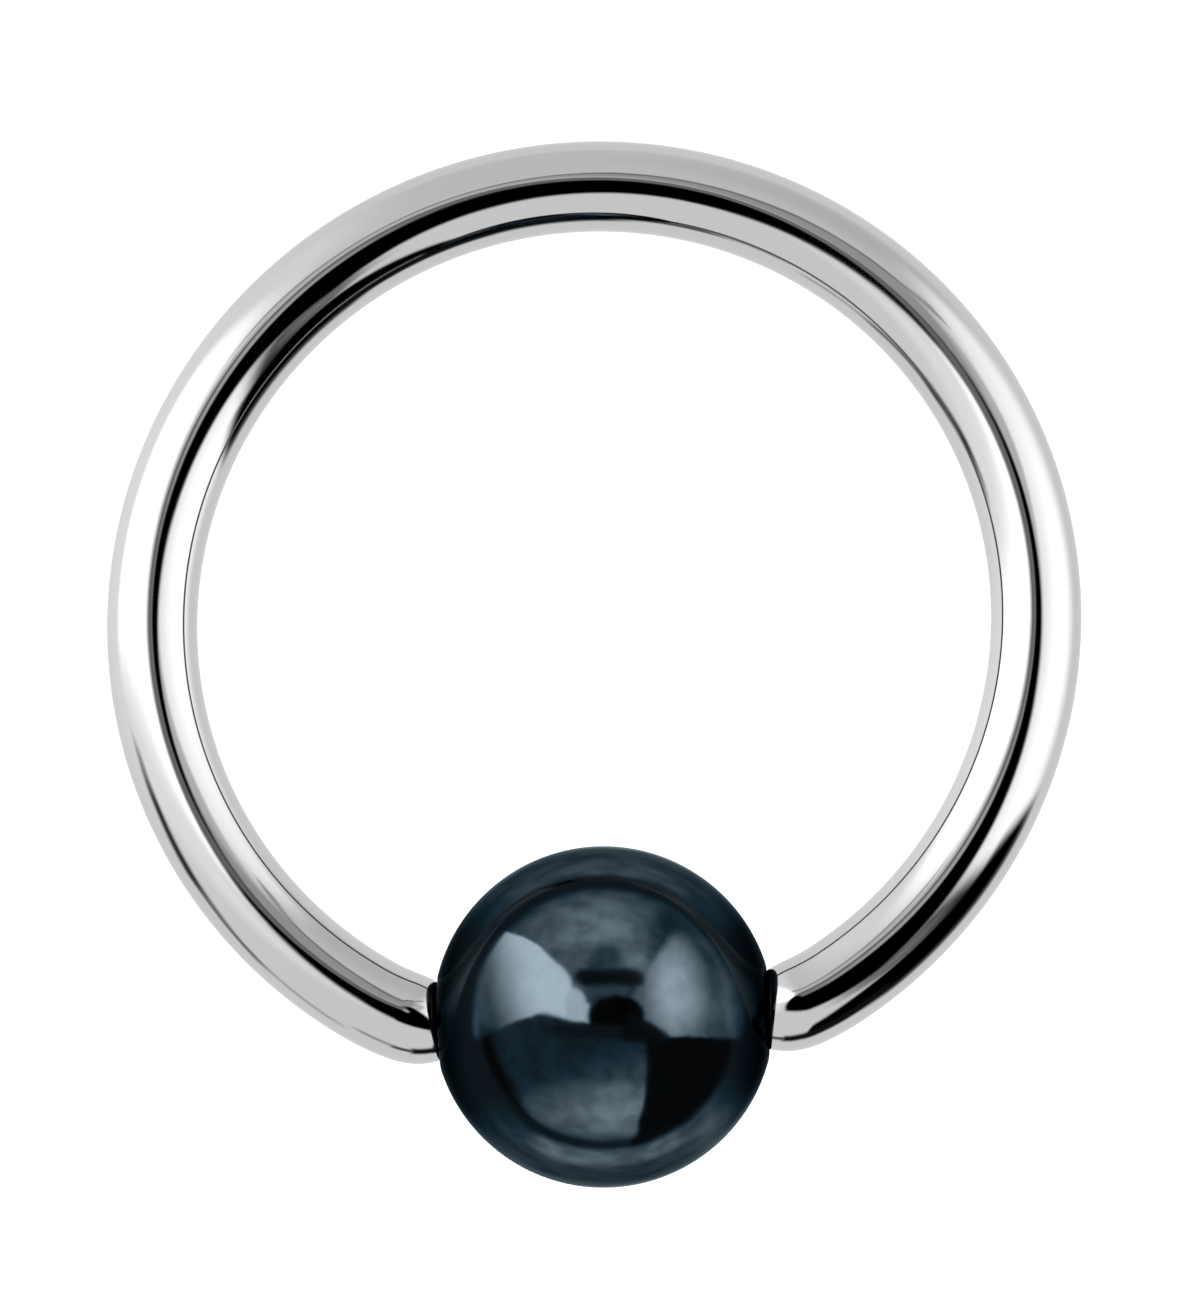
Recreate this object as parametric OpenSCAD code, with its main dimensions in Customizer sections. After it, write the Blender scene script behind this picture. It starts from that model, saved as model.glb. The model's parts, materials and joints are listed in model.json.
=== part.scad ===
// Captive bead ring for a piercing, lying on its side as it rests on a table.
// One round wire is bent almost into a full circle, and its two rounded ends hold a loose ball
// by a dimple on each side. All sizes are in millimetres.

/* [Ring] */
// Inner diameter of the ring
ring_id = 14; // [9:0.5:20]
// Thickness of the wire, which is the gauge that passes through the piercing
wire_d = 1.6; // [1:0.1:2.4]

/* [Wire ends] */
// Radius of the tighter bend at each end of the wire, to the middle of the wire
end_bend_r = 4; // [3:0.25:6]
// Angle that the tighter bend turns through
end_bend = 16; // [4:1:24]
// How much larger the rounding of an end is than the wire's own radius
end_flat = 0.03; // [0.02:0.01:0.2]

/* [Bead] */
// Diameter of the ball
bead_d = 6; // [3:0.5:9]
// Distance from the ball's surface out to the middle of a wire end's rounding
seat_offset = 0.1; // [0.05:0.05:0.5]
// Gap all round a wire end inside its dimple
seat_gap = 0.03; // [0.02:0.01:0.1]

/* [Hidden] */
$fn = 96;

// Radius of the circle that the middle of the wire follows
ring_r = (ring_id + wire_d) / 2;
wire_r = wire_d / 2;
bead_r = bead_d / 2;
// Rounding of the wire's ends, and the dimples that take them with the gap all round
dome_r = wire_r + end_flat;
dimple_r = dome_r + seat_gap;
// Each rounding and its dimple share one middle, on the line that the bead spins on
seat_x = bead_r + seat_offset;

// Angles round the ring are measured from the middle of the gap that the bead fills.
// The tighter bend starts at bend_from and ends at bend_to, where it reaches seat_x.
reach_a = ring_r - end_bend_r + end_bend_r * cos(end_bend);
reach_b = end_bend_r * sin(end_bend);
bend_from = asin(seat_x / norm([reach_a, reach_b])) + atan2(reach_b, reach_a);
bend_to = bend_from - end_bend;
// The wire runs on by this angle past the middle of its rounding, before it is trimmed
tip_turn = 2 * asin(dome_r / end_bend_r);
// Distance from the middle of the ring to the bead's middle
bead_drop = (ring_r - end_bend_r) * cos(bend_from) + end_bend_r * cos(bend_to);

// The ring rests on the far side of its wire and on the underside of the bead
rest_tilt = asin((bead_r - wire_r) / (ring_r + bead_drop));
centre_z = wire_r + ring_r * sin(rest_tilt);
// The origin is on the surface below the middle of the ring's length
centre_y = ((bead_drop - ring_r) * cos(rest_tilt) + bead_r - wire_r) / 2;

// Lays the flat ring down: its gap faces -Y and is raised by the bead
module at_rest() {
    translate([0, centre_y, centre_z])
        rotate([-rest_tilt, 0, 0])
            children();
}

// Turns the flat ring so that +X points at the face where its left bend starts, the gap beyond it
module at_bend() {
    rotate([0, 0, -90 - bend_from])
        children();
}

// Round wire bent to a radius, starting on +X
module bent_wire(bend_r, turn) {
    rotate_extrude(angle = turn)
        translate([bend_r, 0])
            circle(r = wire_r);
}

// Everything on the gap's side of the face where the left bend starts
module gap_side() {
    reach = 2 * ring_r;
    at_bend()
        translate([-reach, 0, -reach])
            cube(2 * reach);
}

// The part of the full circle of wire that the gap and the two bends take out
module gap() {
    intersection() {
        gap_side();
        mirror([1, 0, 0])
            gap_side();
    }
}

// All that lies beyond the middle of an end's rounding, apart from the rounding itself
module beyond_end() {
    difference() {
        translate([-end_bend_r, 0, -end_bend_r])
            cube(2 * end_bend_r);
        sphere(r = dome_r);
    }
}

// The left end of the wire: its tighter bend, trimmed to a rounded tip inside the dimple
module wire_end() {
    at_bend()
        translate([ring_r - end_bend_r, 0, 0])
            difference() {
                bent_wire(end_bend_r, end_bend + tip_turn);
                rotate([0, 0, end_bend])
                    translate([end_bend_r, 0, 0])
                        beyond_end();
            }
}

module ring() {
    color("silver")
        at_rest() {
            difference() {
                at_bend()
                    bent_wire(ring_r, 360);
                gap();
            }
            wire_end();
            mirror([1, 0, 0])
                wire_end();
        }
}

// Half of the ball's outline, with the two dimples cut out of it on the axis that it is turned about
module bead_outline() {
    difference() {
        intersection() {
            circle(r = bead_r);
            translate([0, -bead_r])
                square([bead_r, bead_d]);
        }
        for (side = [-1, 1])
            translate([0, side * seat_x])
                circle(r = dimple_r);
    }
}

module bead() {
    color([0.11, 0.15, 0.19])
        at_rest()
            translate([0, -bead_drop, 0])
                rotate([0, 90, 0])
                    rotate_extrude()
                        bead_outline();
}

ring();
bead();
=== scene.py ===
import json
import math

import bpy
from mathutils import Matrix, Vector


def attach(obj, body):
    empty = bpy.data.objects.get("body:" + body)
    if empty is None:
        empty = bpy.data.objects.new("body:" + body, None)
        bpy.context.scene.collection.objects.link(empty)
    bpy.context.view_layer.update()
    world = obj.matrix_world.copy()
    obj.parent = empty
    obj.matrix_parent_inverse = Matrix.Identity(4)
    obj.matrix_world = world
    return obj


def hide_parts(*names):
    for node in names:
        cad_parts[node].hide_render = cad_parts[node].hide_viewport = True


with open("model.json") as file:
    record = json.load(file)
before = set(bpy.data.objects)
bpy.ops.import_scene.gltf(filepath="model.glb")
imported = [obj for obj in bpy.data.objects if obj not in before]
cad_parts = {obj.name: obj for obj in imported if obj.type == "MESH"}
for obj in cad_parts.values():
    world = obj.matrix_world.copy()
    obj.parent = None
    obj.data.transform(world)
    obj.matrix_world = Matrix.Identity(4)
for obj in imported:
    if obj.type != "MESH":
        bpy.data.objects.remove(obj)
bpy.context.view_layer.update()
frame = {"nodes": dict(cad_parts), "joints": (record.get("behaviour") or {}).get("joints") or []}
print("frame loaded:", ", ".join(sorted(frame["nodes"])))

mm = 0.001
scene = bpy.context.scene
scene.view_settings.view_transform = "Standard"

# Sizes of the two pieces, as their maker would set them

ringSizes = {
    "innerDiameter": 14.0 * mm,
    "wireThickness": 1.6 * mm,
    "endBendRadius": 4.0 * mm,     # the tighter bend at each end
    "endBendAngle": 16.0,          # degrees
    "tipLength": 1.22 * mm,        # each end narrows to a rounded tip over this length
    "tipReach": 0.77 * mm,         # and ends this far past the middle of the round seat in the dimple
    "stepsAround": 80,
    "stepsAlong": 560,
    "stepsBend": 40,
    "stepsTip": 20,
}

beadSizes = {
    "diameter": 6.0 * mm,
    "seatOffset": 0.1 * mm,        # from the ball's surface out to the middle of a tip's dome
    "dimpleRadius": 0.86 * mm,
    "rimRounding": 0.05 * mm,      # the softened edge of each dimple
    "stepsAround": 192,
    "stepsBall": 132,
    "stepsDimple": 20,
    "stepsRim": 6,
}

wireRadius = ringSizes["wireThickness"] / 2
ringRadius = (ringSizes["innerDiameter"] + ringSizes["wireThickness"]) / 2
beadRadius = beadSizes["diameter"] / 2
seatX = beadRadius + beadSizes["seatOffset"]
endBend = ringSizes["endBendRadius"]
endTurn = math.radians(ringSizes["endBendAngle"])

# Angles round the ring start at the middle of the gap that the bead fills
bendReach = Vector((ringRadius - endBend + endBend * math.cos(endTurn), endBend * math.sin(endTurn)))
bendFrom = math.asin(seatX / bendReach.length) + math.atan2(bendReach.y, bendReach.x)
bendTo = bendFrom - endTurn
beadDrop = (ringRadius - endBend) * math.cos(bendFrom) + endBend * math.cos(bendTo)
restTilt = math.asin((beadRadius - wireRadius) / (ringRadius + beadDrop))

# The bead's middle is where the frame's only joint spins it, and the flat ring is laid down from there
beadSpin = frame["joints"][0]
beadCentre = Vector(beadSpin["pos_m"])
layDown = Matrix.Rotation(-restTilt, 3, "X")
ringCentre = beadCentre + layDown @ Vector((0, beadDrop, 0))


# Camera

cameraSettings = {
    "distance": 500 * mm,          # from the middle of the ring
    "leanAcross": 3.6,             # degrees off straight above, to the right in the picture
    "leanUp": -1.8,                # and up in it
    "viewHeight": 22.995 * mm,     # what the picture's long side takes in there
    "roll": 1.93,                  # degrees that the ring is turned counter-clockwise in the picture
    "aimAcross": 0.11 * mm,        # the picture's middle, right of the ring's middle
    "aimUp": -0.564 * mm,          # and up from it
    "nearLimit": 20 * mm,
    "farLimit": 3000 * mm,
}


def makeCamera(settings):
    rolled = Matrix.Rotation(-math.radians(settings["roll"]), 3, "Z")
    leanAcross = math.radians(settings["leanAcross"])
    leanUp = math.radians(settings["leanUp"])
    lean = Vector((math.sin(leanAcross), math.sin(leanUp), 1))
    back = (rolled @ lean).normalized()
    right = rolled.col[1].cross(back).normalized()
    up = back.cross(right)
    aim = ringCentre + right * settings["aimAcross"] + up * settings["aimUp"]
    data = bpy.data.cameras.new("pictureCamera")
    data.lens = data.sensor_width * settings["distance"] / settings["viewHeight"]
    data.clip_start = settings["nearLimit"]
    data.clip_end = settings["farLimit"]
    camera = bpy.data.objects.new("pictureCamera", data)
    camera.location = aim + back * settings["distance"]
    camera.rotation_euler = Matrix((right, up, back)).transposed().to_euler()
    scene.collection.objects.link(camera)
    scene.camera = camera


makeCamera(cameraSettings)
print("camera made")


# Shapes

def curveThrough(start, corner, end, steps):
    # a soft bend from start to end that is pulled towards the corner
    points = []
    for step in range(steps + 1):
        t = step / steps
        points.append((1 - t) ** 2 * start + 2 * t * (1 - t) * corner + t ** 2 * end)
    return points


def lengthsAlong(points):
    # the way from the first point to each one, measured from point to point
    lengths = [0.0]
    for before, after in zip(points, points[1:]):
        lengths.append(lengths[-1] + (after - before).length)
    return lengths


def makeSkin(name, loops, startPole, endPole, lengths, girth):
    # skins a row of closed loops and closes each end with a fan, with a UV map in millimetres
    around = len(loops[0])
    verts = [point for loop in loops for point in loop] + [startPole, endPole]
    startIndex = len(verts) - 2
    endIndex = len(verts) - 1
    faces = []
    uvs = []
    for row in range(len(loops) - 1):
        for step in range(around):
            after = (step + 1) % around
            faces.append((row * around + step, row * around + after,
                          (row + 1) * around + after, (row + 1) * around + step))
            low, high = girth * step / around, girth * (step + 1) / around
            here, further = lengths[row], lengths[row + 1]
            uvs += [(here, low), (here, high), (further, high), (further, low)]
    last = (len(loops) - 1) * around
    for step in range(around):
        after = (step + 1) % around
        low, high = girth * step / around, girth * (step + 1) / around
        faces.append((startIndex, after, step))
        uvs += [(lengths[0], low), (lengths[0], high), (lengths[0], low)]
        faces.append((endIndex, last + step, last + after))
        uvs += [(lengths[-1], low), (lengths[-1], low), (lengths[-1], high)]
    mesh = bpy.data.meshes.new(name)
    mesh.from_pydata([tuple(v) for v in verts], [], faces)
    layer = mesh.uv_layers.new(name="alongAndAround")
    for corner, uv in zip(layer.data, uvs):
        corner.uv = (uv[0] / mm, uv[1] / mm)
    mesh.shade_smooth()
    piece = bpy.data.objects.new(name, mesh)
    scene.collection.objects.link(piece)
    return piece


def outward(angle):
    # away from the ring's middle, in the flat ring, with the gap towards -Y
    return Vector((-math.sin(angle), -math.cos(angle), 0))


def halfWidth(fromEnd):
    # half the wire's thickness at a distance from its end
    share = min(1, fromEnd / ringSizes["tipLength"])
    return wireRadius * math.sqrt(share * (2 - share))


def makeRing():
    stations = []                  # the middle, outward direction and half width of each loop
    tipReach = ringSizes["tipReach"]
    hub = (ringRadius - endBend) * outward(bendFrom)
    leftSeat = hub + endBend * outward(bendTo)
    leftWay = Vector((math.cos(bendTo), -math.sin(bendTo), 0))
    for step in range(1, ringSizes["stepsTip"] + 1):
        fromEnd = tipReach * (step / ringSizes["stepsTip"]) ** 2
        middle = leftSeat + leftWay * (tipReach - fromEnd)
        stations.append((middle, outward(bendTo), halfWidth(fromEnd)))
    for step in range(1, ringSizes["stepsBend"]):
        turned = endTurn * step / ringSizes["stepsBend"]
        angle = bendTo + turned
        fromEnd = tipReach + endBend * turned
        stations.append((hub + endBend * outward(angle), outward(angle), halfWidth(fromEnd)))
    halfSteps = ringSizes["stepsAlong"] // 2
    for step in range(halfSteps + 1):
        angle = bendFrom + (math.pi - bendFrom) * step / halfSteps
        stations.append((ringRadius * outward(angle), outward(angle), wireRadius))
    leftHalf = stations[:-1]
    for middle, away, width in reversed(leftHalf):
        stations.append((Vector((-middle.x, middle.y, 0)), Vector((-away.x, away.y, 0)), width))
    loops = []
    around = ringSizes["stepsAround"]
    for middle, away, width in stations:
        loop = []
        for step in range(around):
            angle = 2 * math.pi * step / around
            flat = middle + width * (math.cos(angle) * away + math.sin(angle) * Vector((0, 0, 1)))
            loop.append(ringCentre + layDown @ flat)
        loops.append(loop)
    startPole = leftSeat + leftWay * tipReach
    endPole = Vector((-startPole.x, startPole.y, 0))
    lengths = lengthsAlong([station[0] for station in stations])
    return makeSkin("wireRing", loops, ringCentre + layDown @ startPole, ringCentre + layDown @ endPole,
                    lengths, 2 * math.pi * wireRadius)


def beadProfile():
    # the right half of the ball's outline, from its waist to the bottom of the dimple:
    # distances along the spin axis, and off it
    dimple = beadSizes["dimpleRadius"]
    rimX = (beadRadius ** 2 - dimple ** 2 + seatX ** 2) / (2 * seatX)
    rim = Vector((rimX, math.sqrt(beadRadius ** 2 - rimX ** 2)))
    ballStop = math.atan2(rim.y, rim.x) + beadSizes["rimRounding"] / beadRadius
    dimpleStart = math.asin(rim.y / dimple) - beadSizes["rimRounding"] / dimple
    points = []
    ballSteps = beadSizes["stepsBall"] // 2
    for step in range(ballSteps):
        angle = math.pi / 2 + (ballStop - math.pi / 2) * step / ballSteps
        points.append(Vector((beadRadius * math.cos(angle), beadRadius * math.sin(angle))))
    onBall = Vector((beadRadius * math.cos(ballStop), beadRadius * math.sin(ballStop)))
    onDimple = Vector((seatX - dimple * math.cos(dimpleStart), dimple * math.sin(dimpleStart)))
    points += curveThrough(onBall, rim, onDimple, beadSizes["stepsRim"])
    for step in range(1, beadSizes["stepsDimple"]):
        angle = dimpleStart * (1 - step / beadSizes["stepsDimple"])
        points.append(Vector((seatX - dimple * math.cos(angle), dimple * math.sin(angle))))
    return points, seatX - dimple


def makeBead():
    half, poleX = beadProfile()
    profile = [Vector((-p.x, p.y)) for p in reversed(half[1:])] + half
    loops = []
    around = beadSizes["stepsAround"]
    for point in profile:
        loop = []
        for step in range(around):
            angle = 2 * math.pi * step / around
            turned = Vector((point.x, -point.y * math.sin(angle), point.y * math.cos(angle)))
            loop.append(beadCentre + turned)
        loops.append(loop)
    left = beadCentre - Vector((poleX, 0, 0))
    right = beadCentre + Vector((poleX, 0, 0))
    girth = math.pi * beadSizes["diameter"]
    return makeSkin("polishedBead", loops, left, right, lengthsAlong(profile), girth)


ring = makeRing()
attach(ring, "ring")
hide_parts("ring")
print("wire ring made")

bead = makeBead()
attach(bead, "bead")
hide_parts("bead")
print("bead made")


# Finishes

def newTree(material):
    material.use_nodes = True
    tree = material.node_tree
    tree.nodes.clear()
    return tree


def addNode(tree, kind, inputs=None, **settings):
    node = tree.nodes.new(kind)
    for key, value in settings.items():
        setattr(node, key, value)
    for key, value in (inputs or {}).items():
        if isinstance(value, bpy.types.NodeSocket):
            tree.links.new(value, node.inputs[key])
        else:
            node.inputs[key].default_value = value
    return node


def doMath(tree, operation, *values):
    return addNode(tree, "ShaderNodeMath", dict(enumerate(values)), operation=operation).outputs[0]


def doVector(tree, operation, inputs):
    return addNode(tree, "ShaderNodeVectorMath", inputs, operation=operation).outputs[0]


def softStep(tree, value, low, high, toLow=0.0, toHigh=1.0):
    inputs = {"Value": value, "From Min": low, "From Max": high, "To Min": toLow, "To Max": toHigh}
    return addNode(tree, "ShaderNodeMapRange", inputs, interpolation_type="SMOOTHSTEP").outputs[0]


def addNoise(tree, place, scale, detail):
    return addNode(tree, "ShaderNodeTexNoise", {"Vector": place, "Scale": scale, "Detail": detail})


mixSockets = {"RGBA": (6, 7, 2), "VECTOR": (4, 5, 1)}   # of a mix node: its two inputs and its result


def mixTwo(tree, kind, factor, first, second):
    one, other, result = mixSockets[kind]
    inputs = {"Factor": factor, one: first, other: second}
    return addNode(tree, "ShaderNodeMix", inputs, data_type=kind).outputs[result]


def closeTree(tree, surface):
    addNode(tree, "ShaderNodeOutputMaterial", {"Surface": surface})


noiseLow, noiseHigh = 0.3, 0.7     # a noise node's values lie mostly between these


steelFinish = {
    "colour": (0.53, 0.532, 0.535),
    "edgeColour": (0.9, 0.9, 0.9),
    "roughLow": 0.025,
    "roughHigh": 0.06,
    "streakStretch": 0.04,         # how wide the drawing marks are, as a share of their length
    "streakDensity": 26,           # marks per millimetre round the wire
    "streakDetail": 3.0,
    "streakDepth": 0.00005 * mm,
    "wipeDensity": 3.0,            # patches of finer and duller polish
    "wipeDetail": 2.0,
    "waveDensity": 1.3,            # slight unevenness of the polish, waves per millimetre
    "waveDetail": 1.0,
    "waveDepth": 0.0009 * mm,
}

beadFinish = {
    "colourLow": (0.077, 0.097, 0.111),
    "colourHigh": (0.087, 0.109, 0.123),
    "edgeColour": (0.42, 0.42, 0.42),
    "roughLow": 0.05,
    "roughHigh": 0.11,
    "dullFrom": 0.35,              # the clouds' values between which the polish turns from fine to dull
    "dullTo": 0.65,
    "cloudDensity": 1.1,           # clouds per millimetre
    "cloudDetail": 4.0,
    "cloudShare": 0.5,             # how much of the step from low to high colour comes from the clouds
    "grainDensity": 22,            # grains per millimetre
    "grainDetail": 2.0,
    "grainShare": 0.5,
    "grainDepth": 0.00004 * mm,
    # painted shade: the ball's colour darkens towards each dimple, where the wire's tips sit, standing
    # in for shade between the two pieces
    "paintedShadeFrom": 2.25 * mm,     # off the ball's middle, where the painted shade towards each dimple starts
    "paintedShadeTo": 2.8 * mm,        # and where the painted shade is at its darkest
    "paintedShadeColour": (0.018, 0.034, 0.043),
}


def makeSteel(settings):
    material = bpy.data.materials.new("polishedSteel")
    tree = newTree(material)
    place = addNode(tree, "ShaderNodeUVMap", uv_map="alongAndAround").outputs[0]
    stretch = (settings["streakStretch"], 1, 1)
    drawn = addNode(tree, "ShaderNodeMapping", {"Vector": place, "Scale": stretch}).outputs[0]
    streaks = addNoise(tree, drawn, settings["streakDensity"], settings["streakDetail"]).outputs[0]
    wipes = addNoise(tree, drawn, settings["wipeDensity"], settings["wipeDetail"]).outputs[0]
    waves = addNoise(tree, place, settings["waveDensity"], settings["waveDetail"]).outputs[0]
    rough = softStep(tree, wipes, noiseLow, noiseHigh, settings["roughLow"], settings["roughHigh"])
    height = doMath(tree, "ADD", doMath(tree, "MULTIPLY", streaks, settings["streakDepth"]),
                    doMath(tree, "MULTIPLY", waves, settings["waveDepth"]))
    bump = addNode(tree, "ShaderNodeBump", {"Height": height, "Strength": 1.0, "Distance": 1.0})
    shader = addNode(tree, "ShaderNodeBsdfPrincipled", {
        "Base Color": (*settings["colour"], 1), "Metallic": 1.0, "Roughness": rough,
        "Specular Tint": (*settings["edgeColour"], 1), "Normal": bump.outputs[0]})
    closeTree(tree, shader.outputs[0])
    return material


def makeDarkPolish(settings):
    material = bpy.data.materials.new("darkPolish")
    tree = newTree(material)
    place = addNode(tree, "ShaderNodeTexCoord").outputs["Object"]
    clouds = addNoise(tree, place, settings["cloudDensity"] / mm, settings["cloudDetail"]).outputs[0]
    grain = addNoise(tree, place, settings["grainDensity"] / mm, settings["grainDetail"]).outputs[0]
    cloudShade = softStep(tree, clouds, noiseLow, noiseHigh, 0.0, settings["cloudShare"])
    grainShade = softStep(tree, grain, noiseLow, noiseHigh, 0.0, settings["grainShare"])
    shade = doMath(tree, "ADD", cloudShade, grainShade)
    colour = mixTwo(tree, "RGBA", shade, (*settings["colourLow"], 1), (*settings["colourHigh"], 1))
    # painted shade: the colour darkens towards each dimple, where the wire's tips sit in the ball
    along = addNode(tree, "ShaderNodeSeparateXYZ", {0: place}).outputs[0]
    offMiddle = doMath(tree, "ABSOLUTE", along)
    paintedSeatShade = softStep(tree, offMiddle, settings["paintedShadeFrom"], settings["paintedShadeTo"])
    colour = mixTwo(tree, "RGBA", paintedSeatShade, colour, (*settings["paintedShadeColour"], 1))
    rough = softStep(tree, clouds, settings["dullFrom"], settings["dullTo"],
                     settings["roughLow"], settings["roughHigh"])
    bump = addNode(tree, "ShaderNodeBump", {"Height": grain, "Strength": 1.0,
                                            "Distance": settings["grainDepth"]})
    shader = addNode(tree, "ShaderNodeBsdfPrincipled", {
        "Base Color": colour, "Metallic": 1.0, "Roughness": rough,
        "Specular Tint": (*settings["edgeColour"], 1), "Normal": bump.outputs[0]})
    closeTree(tree, shader.outputs[0])
    return material


ring.data.materials.append(makeSteel(steelFinish))
bead.data.materials.append(makeDarkPolish(beadFinish))
print("finishes made")


# Light tents: a large glowing shell round each piece, with soft cards laid over it one after another.
# Places on a tent are in degrees, across and up in the picture, from the direction of the camera.
# A card's "corners" go counter-clockwise, each with the softness of the edge that starts there.
# "between" holds two distances from the camera's direction and their softness, and "towards" two angles
# counter-clockwise from the picture's right and their softness.
# "pool" is an oval: its middle across and up, half its width, half its height, and its softness.
# "smoke" is how much of a card's glow comes and goes from patch to patch.

tentSettings = {
    "segments": 64,
    "rings": 32,
    "wanderDensity": 4.0,          # bends of the cards' edges for each radius of the tent
    "wanderDetail": 3.0,
    "smokeDetail": 6.0,
    "fullTintFrom": 0.25,          # the glow from which the tint is at its full strength
}

ringTent = {
    "radius": 460 * mm,
    "base": 1.04,
    "tint": (0.0, 0.0, 0.0),
    "waver": 1.6,                  # degrees by which the cards' edges wander
    "smokeDensity": 3.0,           # patches of smoke for each radius of the tent
    "echo": (0.27, 0.3, 0.31),     # how much of the glow is left once another piece has mirrored it
    "cards": [
        {"name": "leftWash", "glow": 1.3, "pool": (-100, 34, 44, 56, 1.7)},
        {"name": "leftFan", "glow": 1.18, "between": (30, 98, 20), "towards": (120, 150, 20)},
        {"name": "topSheet", "glow": 0.9, "between": (34, 106, 14), "towards": (54, 116, 16)},
        {"name": "topSheetDark", "glow": 0.78, "pool": (34, 74, 30, 20, 1.5)},
        {"name": "leftLow", "glow": 1.32,
         "corners": [(-24, 6, 8), (-92, 6, 10), (-84, -16, 18), (-24, -10, 20)]},
        {"name": "leftBox", "glow": 2.1, "between": (0, 100, 14),
         "corners": [(-14, 10, 8), (-14, 21, 10), (-25, 37, 12), (-40, 51, 16), (-60, 61, 24),
                     (-85, 60, 24), (-100, 36, 20), (-100, 9, 20), (-22, 8, 12)]},
        {"name": "rightBox", "glow": 1.45, "between": (20, 93, 28),
         "corners": [(28, -6, 8), (60, -22, 9), (116, -28, 12), (116, 62, 28), (46, 73, 18),
                     (21, 44, 20), (13, 28, 12)]},
        {"name": "rightBright", "glow": 2.0, "pool": (66, 10, 30, 42, 1.5)},
        {"name": "topInner", "glow": 0.78,
         "corners": [(-13, 20, 5), (14, 20, 6), (26, 34, 10), (15, 41, 3), (3, 39, 3), (-8, 33, 3),
                     (-15, 28, 3)]},
        {"name": "topInnerDark", "glow": 0.5,
         "corners": [(-9, 26, 6), (4, 24, 6), (14, 36, 8), (13, 42, 6), (2, 40, 4), (-9, 33, 4)]},
        {"name": "lineLeft", "glow": 0.42,
         "corners": [(-20, 29, 4), (-12, 28, 2), (-12, 31, 2), (-20, 32, 2)]},
        {"name": "lineUp", "glow": 0.36,
         "corners": [(-12, 28, 2), (-6, 32.5, 2), (-7.5, 35.5, 2), (-13, 31, 2)]},
        {"name": "lineAcross", "glow": 0.28,
         "corners": [(-8, 32.5, 2), (3, 38.5, 2), (3, 41.5, 2), (-8, 35.5, 2)]},
        {"name": "lineOn", "glow": 0.3,
         "corners": [(2, 38.5, 2), (15, 41, 2), (15, 44, 2), (2, 41.5, 2)]},
        {"name": "lineEnd", "glow": 0.5,
         "corners": [(14, 41, 2), (27, 47, 4), (25.5, 50, 2), (14, 44, 2)]},
        {"name": "flagEdge", "glow": 0.12, "between": (60, 108, 14), "towards": (308, 342, 8)},
        {"name": "rightFlag", "glow": 0.0, "between": (0, 99, 14),
         "corners": [(50, -22, 8), (36, -37, 8), (24, -66, 6), (22, -110, 6), (112, -110, 8),
                     (112, -29, 8), (62, -24, 8)]},
        {"name": "armToFlag", "glow": 0.05,
         "corners": [(26, -8, 14), (26, -27, 8), (37, -39, 14), (50, -31, 14), (60, -25, 11)]},
        {"name": "armLit", "glow": 0.26, "pool": (32, -26, 9, 8, 1.6)},
        {"name": "bottomFlag", "glow": 0.01, "between": (80, 100, 12), "towards": (262, 312, 6)},
        {"name": "bottomFlagEnd", "glow": 0.12, "between": (85, 95, 7), "towards": (245, 263, 5)},
        {"name": "bottomFlagTail", "glow": 0.5, "between": (84, 92, 6), "towards": (234, 246, 6)},
        {"name": "leftSeamTop", "glow": 0.5,
         "corners": [(-93, -6, 8), (-93, -18, 8), (-80, -18, 8), (-80, -6, 8)]},
        {"name": "leftSeam", "glow": 0.05,
         "corners": [(-94, -14, 12), (-95, -46, 9), (-79, -46, 12), (-79, -14, 10)]},
        {"name": "leftSeamOn", "glow": 0.28,
         "corners": [(-92, -42, 7), (-83, -70, 7), (-74, -66, 7), (-80, -42, 7)]},
        {"name": "leftSeamEnd", "glow": 0.62,
         "corners": [(-82, -66, 8), (-66, -86, 8), (-60, -79, 8), (-74, -63, 8)]},
        {"name": "cameraHood", "glow": 0.0,
         "corners": [(-21.5, -4, 7), (-18, -13, 8), (-9, -18, 8), (17, -24, 8), (27.5, -24.5, 8),
                     (29, -6, 10), (28, 3, 10), (25, 10, 9), (18.5, 18, 7), (13, 23.5, 5), (6, 27, 4),
                     (-0.5, 26.5, 4), (-7, 23.7, 4), (-11.7, 19.7, 4), (-18, 14, 5), (-21.5, 5, 7)]},
        {"name": "hoodHaze", "glow": 0.24,
         "corners": [(-12, 18.5, 4), (-5, 15.5, 4), (0, 18.5, 4), (-0.5, 23.5, 4), (-6, 23.5, 4)]},
        {"name": "hoodGap", "glow": 0.6,
         "corners": [(-5.5, 18.5, 4), (-4.5, 14, 4), (-1, 12, 4), (2, 14, 4), (1, 18, 3), (-3, 20, 3)]},
    ],
}

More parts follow.
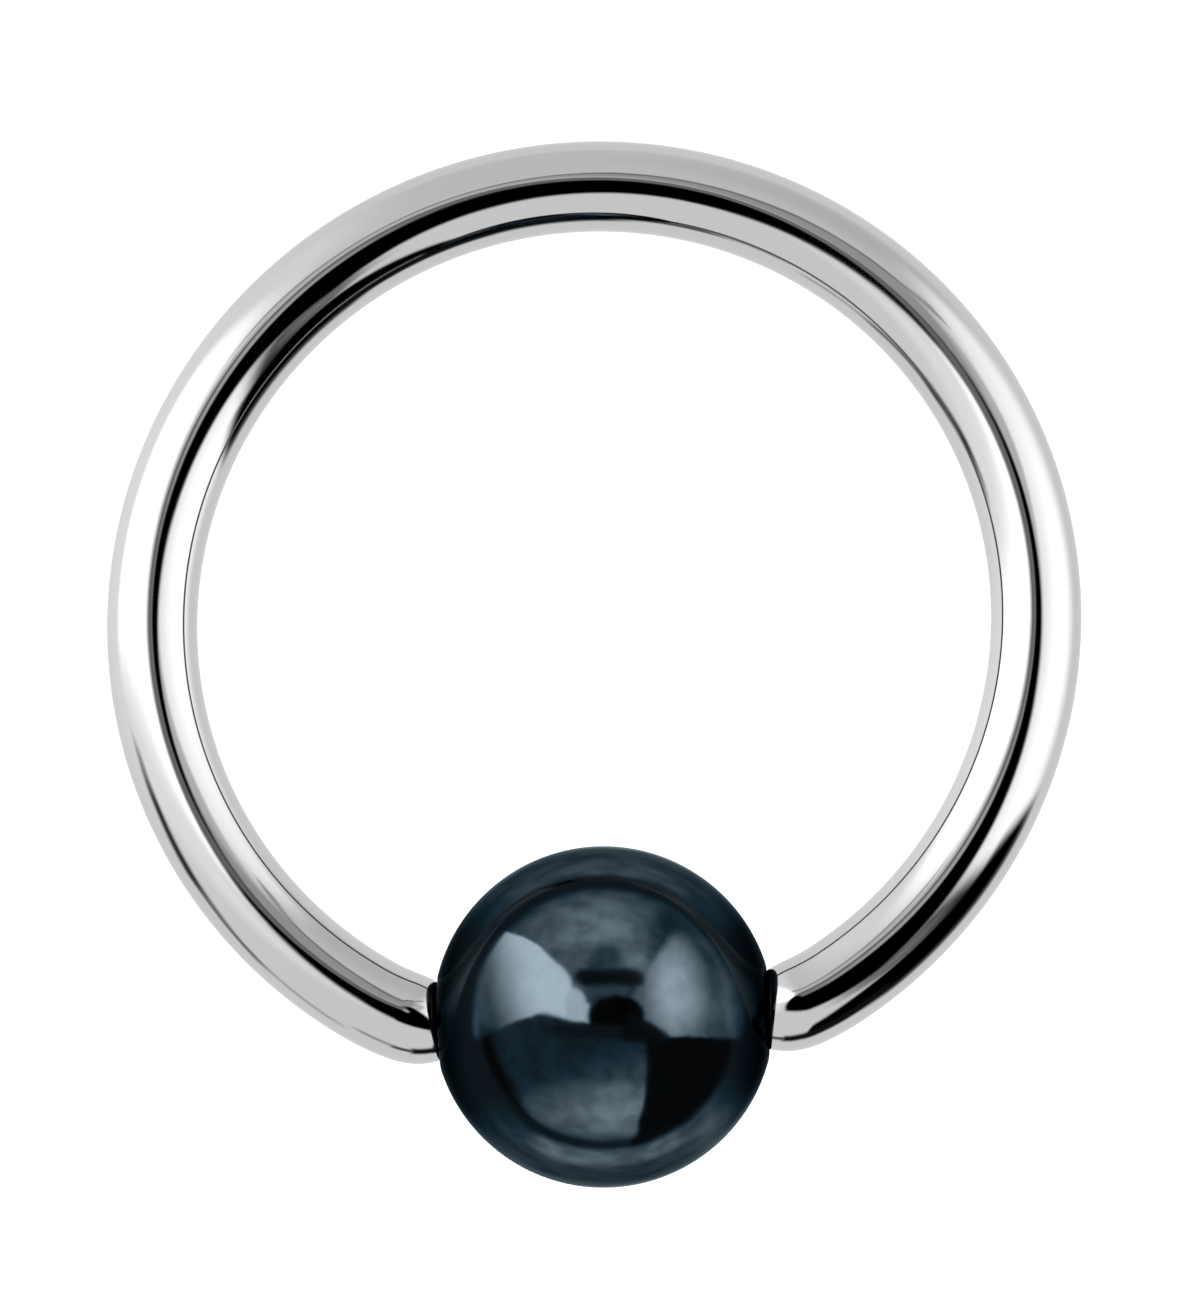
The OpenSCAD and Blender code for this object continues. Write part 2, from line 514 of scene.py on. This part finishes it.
beadTent = {
    "radius": 440 * mm,
    "base": 0.08,
    "tint": (-0.11, 0.0, 0.075),   # the ball mirrors its surroundings a little bluer
    "waver": 2.2,
    "smokeDensity": 5.0,
    "echo": (0.3, 0.3, 0.3),
    "cards": [
        {"name": "topRim", "glow": 0.46, "smoke": 0.35, "between": (113, 190, 14),
         "towards": (50, 132, 40)},
        {"name": "topRimLit", "glow": 0.65, "smoke": 0.35, "pool": (2, 122, 48, 9, 1.6)},
        {"name": "lowerRim", "glow": 0.4, "smoke": 0.35, "between": (103, 190, 10),
         "towards": (228, 322, 30)},
        {"name": "lowerRimLit", "glow": 0.75, "smoke": 0.3, "pool": (88, -98, 18, 18, 1.6)},
        {"name": "lowerCrescent", "glow": 1.15, "smoke": 0.45, "between": (103, 120, 10),
         "towards": (244, 300, 16)},
        {"name": "topSheet", "glow": 0.48, "smoke": 0.35, "between": (0, 96, 9),
         "towards": (24, 140, 10)},
        {"name": "topBright", "glow": 1.2, "smoke": 0.3, "pool": (-6, 64, 32, 18, 1.7)},
        {"name": "topSpot", "glow": 1.25, "smoke": 0.3, "pool": (20, 42, 10, 9, 1.5)},
        {"name": "topGap", "glow": 0.3, "smoke": 0.3, "pool": (2, 40, 10, 8, 1.4)},
        {"name": "topLeftLit", "glow": 0.8, "smoke": 0.3,
         "corners": [(-44, 84, 6), (-64, 64, 4), (-60, 74, 5), (-42, 90, 6)]},
        {"name": "rightDark", "glow": 0.17, "smoke": 0.3, "between": (0, 96, 8),
         "corners": [(34, 50, 14), (100, 54, 20), (100, 100, 8), (42, 100, 24)]},
        {"name": "leftShade", "glow": 0.45, "smoke": 0.25, "between": (0, 99, 8),
         "corners": [(-40, -15, 8), (-40, 40, 6), (-74, 66, 6), (-110, 66, 6), (-110, -15, 8)]},
        {"name": "leftBox", "glow": 4.2, "smoke": 0.04, "between": (0, 98, 4),
         "corners": [(-21, 22, 3), (-24, 31, 3), (-31, 37.5, 3), (-40, 47, 3), (-50, 55, 3),
                     (-60, 59.5, 3), (-82, 67, 44), (-54, -12, 3), (-20, -12, 3)]},
        {"name": "besideHood", "glow": 3.5,
         "corners": [(-9.5, -8, 3), (-9.5, 12, 4), (-13, 17, 3), (-20, 21, 3), (-26, 14, 3),
                     (-24, -8, 3)]},
        {"name": "rightBox", "glow": 0.36, "smoke": 0.3, "between": (0, 106, 16),
         "corners": [(27, -16, 4), (112, -16, 4), (112, 10, 20), (84, 56, 20), (48, 58, 10),
                     (36, 43, 5), (28, 28, 4), (25.5, 10, 4)]},
        {"name": "rightLow", "glow": 0.62, "smoke": 0.3, "pool": (80, 8, 24, 22, 1.5)},
        {"name": "rightBright", "glow": 2.85, "smoke": 0.14, "pool": (49, 19, 18, 29, 1.6),
         "corners": [(27, -16, 4), (112, -16, 4), (112, 90, 4), (60, 70, 8), (36, 43, 5), (28, 28, 4),
                     (25.5, 10, 4)]},
        {"name": "darkRing", "glow": 0.02, "between": (76, 93, 8), "towards": (186, 240, 12)},
        {"name": "rightFlag", "glow": 0.02, "between": (0, 101, 10),
         "corners": [(26, -12, 4), (20, -110, 4), (84, -110, 16), (104, -60, 20), (110, -17, 4),
                     (60, -13, 3)]},
        {"name": "lowerSheet", "glow": 0.14, "smoke": 0.3, "between": (0, 92, 8),
         "corners": [(-13, -2.5, 3), (-22, 1, 3), (-30, 3.5, 3), (-40, 5, 3), (-56, -0.5, 3),
                     (-72, -6, 3), (-80, -14, 12), (-62, -62, 8), (-42, -92, 6), (0, -100, 6),
                     (21, -100, 4), (25, -80, 4), (28.5, -56, 4), (29.5, -22, 4), (24, -10, 4)]},
        {"name": "lowerMiddle", "glow": 0.36, "smoke": 0.3, "between": (0, 90, 8),
         "corners": [(29, -26, 34), (-58, -56, 34), (-62, -62, 8), (-42, -92, 6), (0, -100, 6),
                     (21, -100, 4), (25, -80, 4), (28.5, -56, 4)]},
        {"name": "lowerLit", "glow": 0.85, "smoke": 0.3, "between": (0, 88, 12),
         "corners": [(29, -42, 36), (-56, -64, 36), (-60, -70, 8), (-42, -92, 6), (0, -100, 6),
                     (21, -100, 4), (25, -80, 4), (28.5, -56, 4)]},
        {"name": "lowerBright", "glow": 1.5, "smoke": 0.25, "pool": (9, -65, 22, 14, 1.7),
         "corners": [(29, -30, 10), (-40, -30, 10), (-40, -100, 6), (21, -100, 4), (25, -80, 4),
                     (28.5, -56, 4)]},
        {"name": "topArc", "glow": 0.04,
         "corners": [(-12, 20.5, 3), (4, 19, 4), (27, 20.5, 4), (28, 28, 4), (24, 33, 5), (-18, 33, 5),
                     (-20.5, 26, 3)]},
        {"name": "hoodHaze", "glow": 0.3, "smoke": 0.35,
         "corners": [(-12, 10, 4), (26, 10, 4), (25, 21, 5), (6, 23, 5), (-12, 21, 5)]},
        {"name": "hazeRight", "glow": 0.95, "smoke": 0.2,
         "corners": [(15, 8, 3), (28, 8, 3), (28, 22, 5), (22, 20, 6)]},
        {"name": "cameraHood", "glow": 0.01, "pool": (8, 1.5, 19, 14.5, 0.25)},
        {"name": "hoodFoot", "glow": 0.03,
         "corners": [(12, -16, 6), (46, -15, 4), (44, -10, 5), (29, -1, 5), (18, 5, 4)]},
        {"name": "underHood", "glow": 0.06,
         "corners": [(-40, -9, 8), (-14, -15, 8), (12, -14, 6), (14, -4, 6), (-12, -3, 5),
                     (-24, -2, 5)]},
    ],
}


def multiplyAll(tree, masks):
    whole = masks[0]
    for mask in masks[1:]:
        whole = doMath(tree, "MULTIPLY", whole, mask)
    return whole


def dot(tree, one, other):
    node = addNode(tree, "ShaderNodeVectorMath", {0: one, 1: other}, operation="DOT_PRODUCT")
    return node.outputs["Value"]


def crossing(tree, value, edge, soft, before=0.0, beyond=1.0):
    return softStep(tree, value, edge - soft / 2, edge + soft / 2, before, beyond)


def cardMask(tree, card, spot, polar, way):
    masks = []
    corners = card.get("corners", [])
    for index, (across, up, soft) in enumerate(corners):
        follow = corners[(index + 1) % len(corners)]
        edgeWay = Vector((follow[0] - across, follow[1] - up)).normalized()
        inward = (-edgeWay.y, edgeWay.x, 0)
        edge = inward[0] * across + inward[1] * up
        masks.append(crossing(tree, dot(tree, spot, inward), edge, soft))
    if "between" in card:
        start, stop, soft = card["between"]
        if start > 0:
            masks.append(crossing(tree, polar, start, soft))
        masks.append(crossing(tree, polar, stop, soft, 1.0, 0.0))
    if "towards" in card:
        start, stop, soft = card["towards"]
        middle = math.radians((start + stop) / 2)
        outer = math.cos(math.radians((stop - start + soft) / 2))
        inner = math.cos(math.radians((stop - start - soft) / 2))
        middleWay = (math.cos(middle), math.sin(middle), 0)
        masks.append(softStep(tree, dot(tree, way, middleWay), outer, inner))
    if "pool" in card:
        across, up, width, height, soft = card["pool"]
        offset = doVector(tree, "SUBTRACT", {0: spot, 1: (across, up, 0)})
        offset = doVector(tree, "MULTIPLY", {0: offset, 1: (1 / width, 1 / height, 0)})
        reach = addNode(tree, "ShaderNodeVectorMath", {0: offset}, operation="LENGTH")
        masks.append(crossing(tree, reach.outputs["Value"], 1, soft, 1.0, 0.0))
    return multiplyAll(tree, masks)


def readPlace(tree, whole, waver):
    # where a point of the shell lies: its spot in degrees, how far off the camera it is, and which way
    parts = addNode(tree, "ShaderNodeSeparateXYZ", {0: whole})
    polar = doMath(tree, "MULTIPLY", doMath(tree, "ARCCOSINE", parts.outputs[2]), 180 / math.pi)
    flat = doVector(tree, "MULTIPLY", {0: whole, 1: (1, 1, 0)})
    way = doVector(tree, "NORMALIZE", {0: flat})
    spot = doVector(tree, "SCALE", {0: way, "Scale": polar})
    wander = addNoise(tree, whole, tentSettings["wanderDensity"], tentSettings["wanderDetail"])
    shift = doVector(tree, "SUBTRACT", {0: wander.outputs["Color"], 1: (0.5, 0.5, 0.5)})
    shift = doVector(tree, "SCALE", {0: shift, "Scale": 2 * waver})
    spot = doVector(tree, "ADD", {0: spot, 1: shift})
    return spot, polar, way


def layCards(tree, tent, whole):
    spot, polar, way = readPlace(tree, whole, tent["waver"])
    smoke = addNoise(tree, whole, tent["smokeDensity"], tentSettings["smokeDetail"]).outputs[0]
    glow = tent["base"]
    for card in tent["cards"]:
        mask = cardMask(tree, card, spot, polar, way)
        own = card["glow"]
        if "smoke" in card:
            thin = own * (1 - card["smoke"])
            thick = own * (1 + card["smoke"])
            own = softStep(tree, smoke, noiseLow, noiseHigh, thin, thick)
        layer = addNode(tree, "ShaderNodeMix", {"Factor": mask, "B": own, "A": glow})
        glow = layer.outputs[0]
    return glow


def makeGlow(name, tent):
    material = bpy.data.materials.new(name)
    tree = newTree(material)
    place = addNode(tree, "ShaderNodeTexCoord").outputs["Object"]
    whole = doVector(tree, "NORMALIZE", {0: place})
    glow = layCards(tree, tent, whole)
    white = doVector(tree, "SCALE", {0: (1, 1, 1), "Scale": glow})
    tinted = softStep(tree, glow, 0.0, tentSettings["fullTintFrom"])
    tint = doVector(tree, "SCALE", {0: tent["tint"], "Scale": tinted})
    colour = doVector(tree, "ADD", {0: white, 1: tint})
    rays = addNode(tree, "ShaderNodeLightPath")
    mirrored = softStep(tree, rays.outputs["Ray Depth"], 1.0, 2.0)
    echo = mixTwo(tree, "VECTOR", mirrored, (1, 1, 1), tent["echo"])
    colour = doVector(tree, "MULTIPLY", {0: colour, 1: echo})
    light = addNode(tree, "ShaderNodeEmission", {"Color": colour})
    clear = addNode(tree, "ShaderNodeBsdfTransparent")
    both = addNode(tree, "ShaderNodeAddShader", {0: light.outputs[0], 1: clear.outputs[0]})
    closeTree(tree, both.outputs[0])
    material.cycles.emission_sampling = "NONE"
    return material


def makeTent(name, tent, piece, centre):
    bpy.ops.mesh.primitive_uv_sphere_add(
        segments=tentSettings["segments"], ring_count=tentSettings["rings"], radius=tent["radius"])
    shell = bpy.context.active_object
    shell.name = name
    shell.location = centre
    shell.rotation_euler = scene.camera.rotation_euler
    shell.data.materials.append(makeGlow(name + "Glow", tent))
    lit = bpy.data.collections.new(name + "Lights")
    lit.objects.link(piece)
    shell.light_linking.receiver_collection = lit
    for kind in ("camera", "diffuse", "transmission", "volume_scatter", "shadow"):
        setattr(shell, "visible_" + kind, False)


makeTent("ringTent", ringTent, ring, ringCentre)
makeTent("beadTent", beadTent, bead, beadCentre)
print("light tents made")


# Table and the white room beyond it

tableSettings = {
    "radius": 2.0,
    "sides": 96,
    "colour": (0.8, 0.8, 0.8),
    "glow": 0.55,                  # keeps the paper white close to the piece
}

roomSettings = {
    "colour": (1, 1, 1),
    "light": 1.4,
}


def makeTable(settings):
    bpy.ops.mesh.primitive_circle_add(
        vertices=settings["sides"], radius=settings["radius"], fill_type="NGON")
    table = bpy.context.active_object
    table.name = "paperTable"
    material = bpy.data.materials.new("whitePaper")
    tree = newTree(material)
    paper = addNode(tree, "ShaderNodeBsdfDiffuse", {"Color": (*settings["colour"], 1)})
    light = addNode(tree, "ShaderNodeEmission", {"Strength": settings["glow"]})
    both = addNode(tree, "ShaderNodeAddShader", {0: light.outputs[0], 1: paper.outputs[0]})
    closeTree(tree, both.outputs[0])
    table.data.materials.append(material)
    table.visible_glossy = False


def makeRoom(settings):
    room = bpy.data.worlds.new("whiteRoom")
    room.use_nodes = True
    light = room.node_tree.nodes["Background"]
    light.inputs["Color"].default_value = (*settings["colour"], 1)
    light.inputs["Strength"].default_value = settings["light"]
    room.cycles_visibility.glossy = False
    scene.world = room


makeTable(tableSettings)
makeRoom(roomSettings)
print("table and room made")
